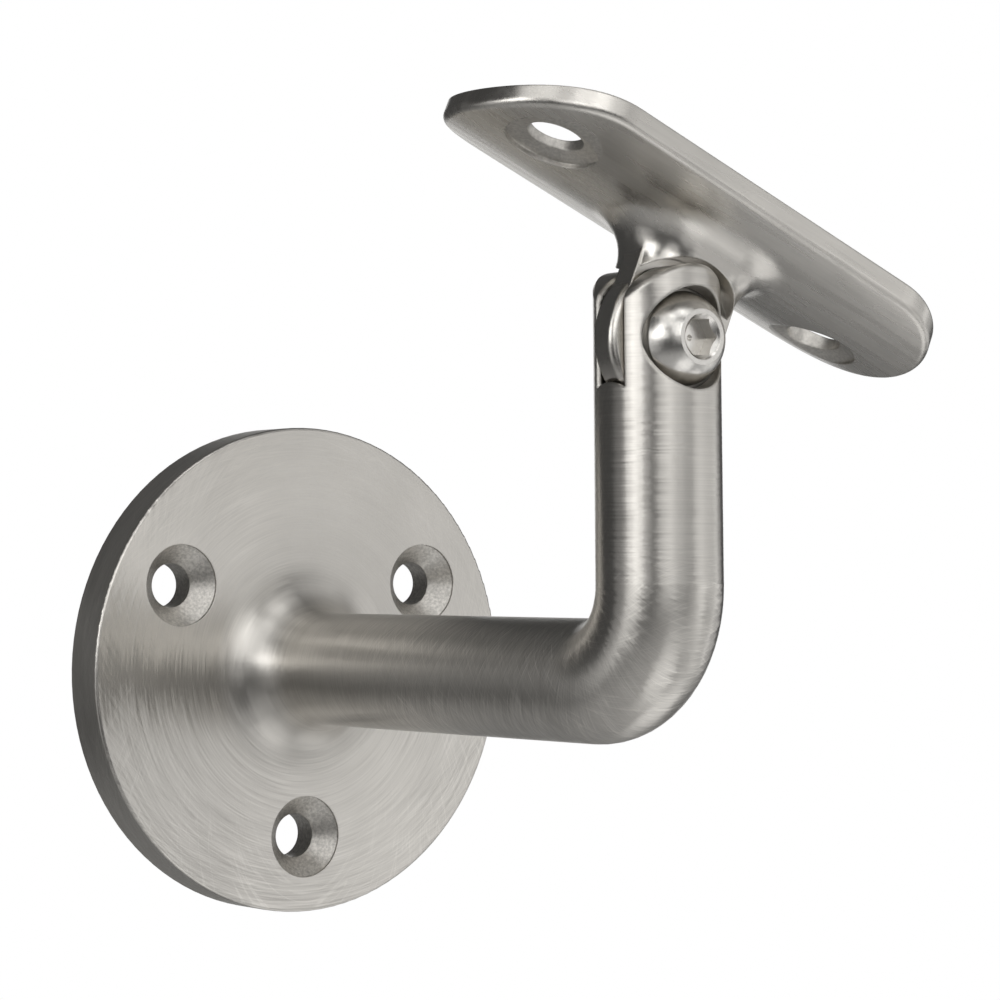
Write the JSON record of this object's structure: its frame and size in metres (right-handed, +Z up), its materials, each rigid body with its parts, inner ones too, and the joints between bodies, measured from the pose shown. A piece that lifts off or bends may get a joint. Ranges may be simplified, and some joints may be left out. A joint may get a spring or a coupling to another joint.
{
  "type": "handrail bracket",
  "caption": "Wall-mounted handrail bracket: round plate, bent arm, forked post and a curved saddle that tilts to the rail's slope.",
  "frame": {"origin": "centre of the wall plate's back face, on the wall", "axes": "+Y points into the wall, so the bracket stands out along -Y; +Z is up; the handrail runs along X"},
  "size_m": [0.0676, 0.09, 0.095],
  "materials": {
    "brushed_casting": "satin",
    "polished_screw": "polished"
  },
  "bodies": {
    "bracket": {"wall_bracket": "brushed_casting", "pivot_screw": "polished_screw"},
    "saddle": {"saddle": "brushed_casting"}
  },
  "joints": [
    {"name": "saddle_tilt", "type": "hinge", "parent": "bracket", "child": "saddle", "pos_m": [0, -0.077, 0.038], "axis": [0, 1, 0], "range_deg": [-83.6, 36.4]}
  ]
}
